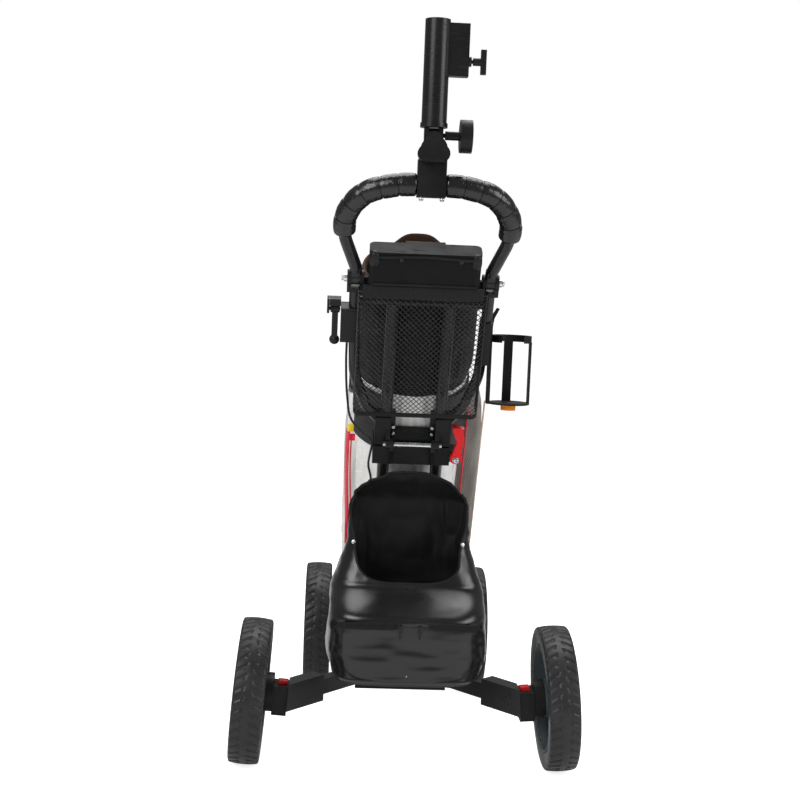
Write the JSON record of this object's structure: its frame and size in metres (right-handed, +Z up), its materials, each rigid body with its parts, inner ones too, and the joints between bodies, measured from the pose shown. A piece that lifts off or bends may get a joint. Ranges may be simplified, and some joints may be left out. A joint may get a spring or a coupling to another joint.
{
  "type": "golf push cart with golf bag",
  "caption": "Folding four-wheeled push cart for a golf bag, with console, net pocket, umbrella holder, bottle cage, storage bag and a strapped golf bag.",
  "frame": {"origin": "centre of the whole object's box, on the ground", "axes": "+X to the pusher's right, +Y the way the cart is pushed, +Z up"},
  "size_m": [0.701, 0.9308, 1.4547],
  "materials": {
    "tyre": "satin moulded tread",
    "rim_plastic": "satin blue-grey",
    "black_plastic": "fine moulded grain",
    "gloss_plastic": "semi-gloss moulded",
    "steel": "zinc plated",
    "red_plastic": "semi-gloss",
    "black_tube": "satin powder coat",
    "grip_rubber": "moulded, slightly shiny",
    "orange_plastic": "satin",
    "net": "open diamond net",
    "black_fabric": "coated woven",
    "cable": "smooth sheath",
    "bag_fabric": "coated, glossy white",
    "bag_lining": "soft brown lining",
    "cradle_plastic": "fine moulded grain",
    "zip_metal": "black plated"
  },
  "bodies": {
    "root": {"lower_rails": "black_tube", "saddle_bracket": "black_plastic", "fold_rod": "steel", "frame_pins": "steel", "base_casting": "black_plastic", "bag_cradle": "cradle_plastic", "bag_strap": "black_fabric", "bag_rest": "cradle_plastic", "golf_bag_body": "bag_fabric", "golf_bag_cuff": "bag_lining", "golf_bag_pockets": "bag_fabric", "storage_bag": "black_fabric", "suspension_cords": "cable", "brake_cable_lower": "cable"},
    "upper_frame": {"upper_saddle": "black_plastic", "upper_posts": "black_tube", "side_frame": "black_tube", "handle_clamps": "black_plastic", "upper_pins": "steel", "console_tray": "gloss_plastic", "mesh_pocket": "net", "brake_housing": "black_plastic", "brake_cable_upper": "cable", "cage_bracket": "black_plastic", "bottle_cage": "black_plastic"},
    "latch": {"latch_lever": "red_plastic"},
    "handle": {"handle_tube": "black_tube", "grip_left": "grip_rubber", "grip_right": "grip_rubber", "umbrella_clamp": "black_plastic"},
    "knuckle": {"umbrella_knuckle": "black_plastic"},
    "umbrella": {"umbrella_tube": "gloss_plastic"},
    "tilt_knob_body": {"tilt_knob": "black_plastic"},
    "lean_knob_body": {"lean_knob": "black_plastic"},
    "wing_screw_body": {"wing_screw": "black_plastic"},
    "lid": {"console_lid": "gloss_plastic"},
    "brake_lever_body": {"brake_lever": "black_plastic"},
    "cage_dial_body": {"cage_dial": "orange_plastic"},
    "front_frame": {"front_axle_frame": "black_tube", "front_axle": "steel"},
    "zip_left": {"zip_pull_left": "zip_metal"},
    "zip_right": {"zip_pull_right": "zip_metal"},
    "leg_left_body": {"leg_left": "black_tube", "brake_case_left": "black_plastic", "axle_rear_left": "steel"},
    "brake_pin_left_body": {"brake_pin_left": "steel"},
    "release_left_body": {"release_button_left": "red_plastic"},
    "wheel_rear_left": {"tyre_rear_left": "tyre", "rim_rear_left": "rim_plastic"},
    "wheel_front_left": {"tyre_front_left": "tyre", "rim_front_left": "rim_plastic"},
    "leg_right_body": {"leg_right": "black_tube", "brake_case_right": "black_plastic", "axle_rear_right": "steel"},
    "brake_pin_right_body": {"brake_pin_right": "steel"},
    "release_right_body": {"release_button_right": "red_plastic"},
    "wheel_rear_right": {"tyre_rear_right": "tyre", "rim_rear_right": "rim_plastic"},
    "wheel_front_right": {"tyre_front_right": "tyre", "rim_front_right": "rim_plastic"}
  },
  "joints": [
    {"name": "upper_fold", "type": "hinge", "parent": "root", "child": "upper_frame", "pos_m": [0, -0.158, 0.64869], "axis": [1, 0, 0], "range_deg": [0, 50]},
    {"name": "latch_swing", "type": "hinge", "parent": "root", "child": "latch", "pos_m": [0.092, -0.14054, 0.61947], "axis": [0, 0.8829, 0.4695], "range_deg": [0, 60]},
    {"name": "handle_tilt", "type": "hinge", "parent": "upper_frame", "child": "handle", "pos_m": [0, -0.29663, 0.98611], "axis": [1, 0, 0], "range_deg": [-30, 45]},
    {"name": "umbrella_lean", "type": "hinge", "parent": "handle", "child": "knuckle", "pos_m": [0, -0.42242, 1.22124], "axis": [0, 1, 0], "range_deg": [-20, 20]},
    {"name": "umbrella_tilt", "type": "hinge", "parent": "knuckle", "child": "umbrella", "pos_m": [0, -0.42242, 1.24924], "axis": [1, 0, 0], "range_deg": [-60, 12]},
    {"name": "tilt_knob_turn", "type": "hinge", "parent": "knuckle", "child": "tilt_knob_body", "pos_m": [0, -0.42242, 1.24924], "axis": [1, 0, 0], "continuous": true},
    {"name": "lean_knob_turn", "type": "hinge", "parent": "handle", "child": "lean_knob_body", "pos_m": [0, -0.42242, 1.22124], "axis": [0, 1, 0], "continuous": true},
    {"name": "wing_screw_turn", "type": "hinge", "parent": "umbrella", "child": "wing_screw_body", "pos_m": [0, -0.42242, 1.38274], "axis": [1, 0, 0], "continuous": true},
    {"name": "console_lid_open", "type": "hinge", "parent": "upper_frame", "child": "lid", "pos_m": [0, -0.32102, 1.04902], "axis": [1, 0, 0], "range_deg": [-100, 0]},
    {"name": "brake_lever_pull", "type": "hinge", "parent": "upper_frame", "child": "brake_lever_body", "pos_m": [0, -0.26424, 0.92518], "axis": [1, 0, 0], "range_deg": [-60, 0]},
    {"name": "cage_dial_turn", "type": "hinge", "parent": "upper_frame", "child": "cage_dial_body", "pos_m": [0.186, -0.21391, 0.80924], "axis": [0, 0, 1], "continuous": true},
    {"name": "front_fold", "type": "hinge", "parent": "root", "child": "front_frame", "pos_m": [0, 0.19132, 0.148], "axis": [1, 0, 0], "range_deg": [-110, 0]},
    {"name": "leg_left_swing", "type": "hinge", "parent": "root", "child": "leg_left_body", "pos_m": [-0.075, -0.05558, 0.14], "axis": [0, 0, 1], "range_deg": [0, 20]},
    {"name": "leg_right_swing", "type": "hinge", "parent": "root", "child": "leg_right_body", "pos_m": [0.075, -0.05558, 0.14], "axis": [0, 0, 1], "range_deg": [-20, 0]},
    {"name": "brake_pin_left_slide", "type": "slide", "parent": "leg_left_body", "child": "brake_pin_left_body", "axis": [-0.9976, 0, 0.0698], "range_m": [0, 0.008]},
    {"name": "release_left_press", "type": "slide", "parent": "leg_left_body", "child": "release_left_body", "axis": [-0.0698, 0, -0.9976], "range_m": [0, 0.004], "stiffness_N_per_m": 300},
    {"name": "wheel_rear_left_spin", "type": "hinge", "parent": "leg_left_body", "child": "wheel_rear_left", "pos_m": [-0.31, -0.22058, 0.14603], "axis": [-0.9976, 0, 0.0698], "continuous": true},
    {"name": "wheel_front_left_spin", "type": "hinge", "parent": "front_frame", "child": "wheel_front_left", "pos_m": [-0.184, 0.31942, 0.146], "axis": [-1, 0, 0], "continuous": true},
    {"name": "brake_pin_right_slide", "type": "slide", "parent": "leg_right_body", "child": "brake_pin_right_body", "axis": [0.9976, 0, 0.0698], "range_m": [0, 0.008]},
    {"name": "release_right_press", "type": "slide", "parent": "leg_right_body", "child": "release_right_body", "axis": [0.0698, 0, -0.9976], "range_m": [0, 0.004], "stiffness_N_per_m": 300},
    {"name": "wheel_rear_right_spin", "type": "hinge", "parent": "leg_right_body", "child": "wheel_rear_right", "pos_m": [0.31, -0.22058, 0.14603], "axis": [0.9976, 0, 0.0698], "continuous": true},
    {"name": "wheel_front_right_spin", "type": "hinge", "parent": "front_frame", "child": "wheel_front_right", "pos_m": [0.184, 0.31942, 0.146], "axis": [1, 0, 0], "continuous": true},
    {"name": "zip_left_slide", "type": "slide", "parent": "root", "child": "zip_left", "axis": [-1, 0, 0], "range_m": [0, 0.11]},
    {"name": "zip_right_slide", "type": "slide", "parent": "root", "child": "zip_right", "axis": [1, 0, 0], "range_m": [0, 0.11]}
  ],
  "couplings": [
    {"joint": "leg_right_swing", "follows": "leg_left_swing", "ratio": -1},
    {"joint": "brake_pin_left_slide", "follows": "brake_lever_pull", "m_per_rad": -0.0076394},
    {"joint": "brake_pin_right_slide", "follows": "brake_lever_pull", "m_per_rad": -0.0076394}
  ]
}
